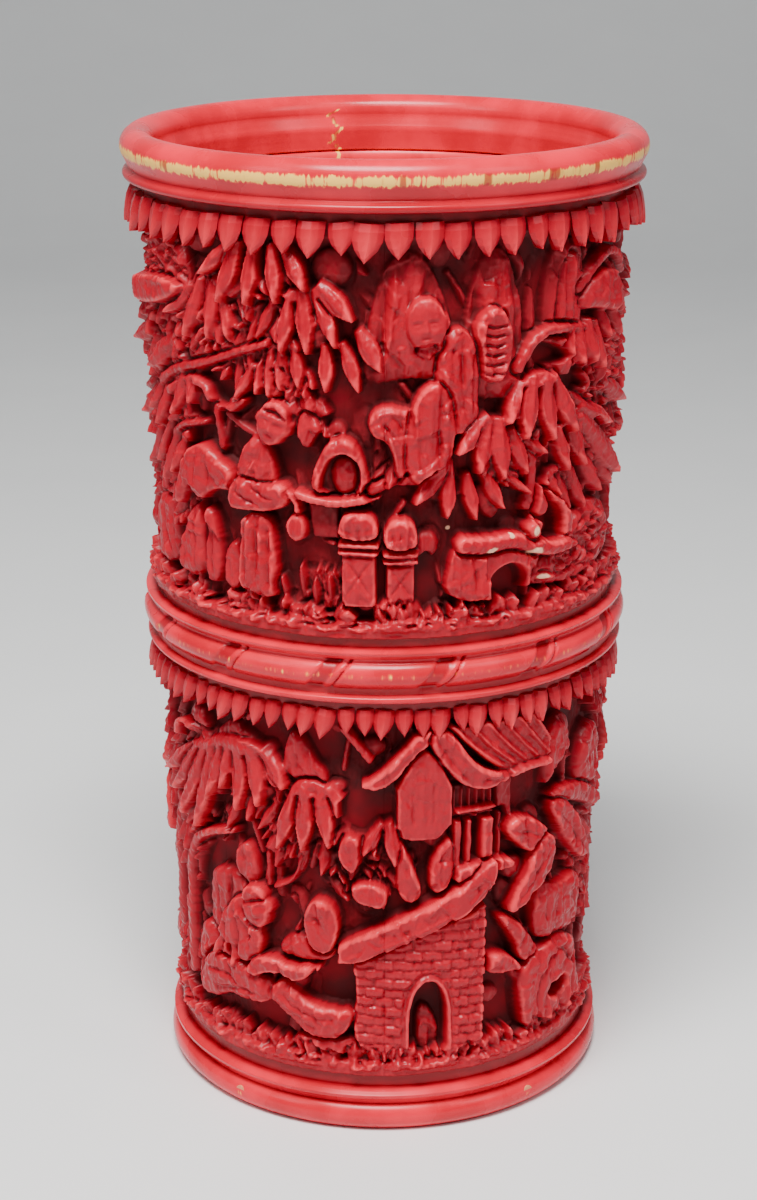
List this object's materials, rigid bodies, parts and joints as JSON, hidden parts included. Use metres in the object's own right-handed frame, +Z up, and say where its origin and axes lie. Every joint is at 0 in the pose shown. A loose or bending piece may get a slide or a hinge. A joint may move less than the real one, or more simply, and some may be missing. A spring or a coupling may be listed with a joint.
{
  "type": "brush holder pot",
  "caption": "Carved cylindrical brush holder built up of turned rings and relief-carved sleeves over a plain liner, with a rolled lip, an open mouth and a pegged base disc.",
  "frame": {"origin": "middle of the flat ring face that the pot stands on", "axes": "+Z up along the pot's own axis to the mouth; -Y is the front, the side of the carved scene that faces the viewer; +X is to the viewer's right"},
  "size_m": [0.0632, 0.0632, 0.12],
  "materials": {
    "stained_ring": "red-stained, wax-polished, worn to the pale natural colour on the proud edges",
    "stained_carving": "red-stained carved relief, satin, dark in the recesses and paler on the edges",
    "stained_liner": "red-stained, smooth, semi-gloss",
    "base_disc": "red-stained, plain, fine tool rings",
    "pegs": "end grain, only lightly stained"
  },
  "bodies": {
    "root": {"foot_ring": "stained_ring", "base_disc": "base_disc", "base_pegs": "pegs", "liner_tube": "stained_liner", "lower_sleeve": "stained_carving", "middle_band": "stained_ring", "upper_sleeve": "stained_carving", "lip_ring": "stained_ring"}
  },
  "joints": []
}
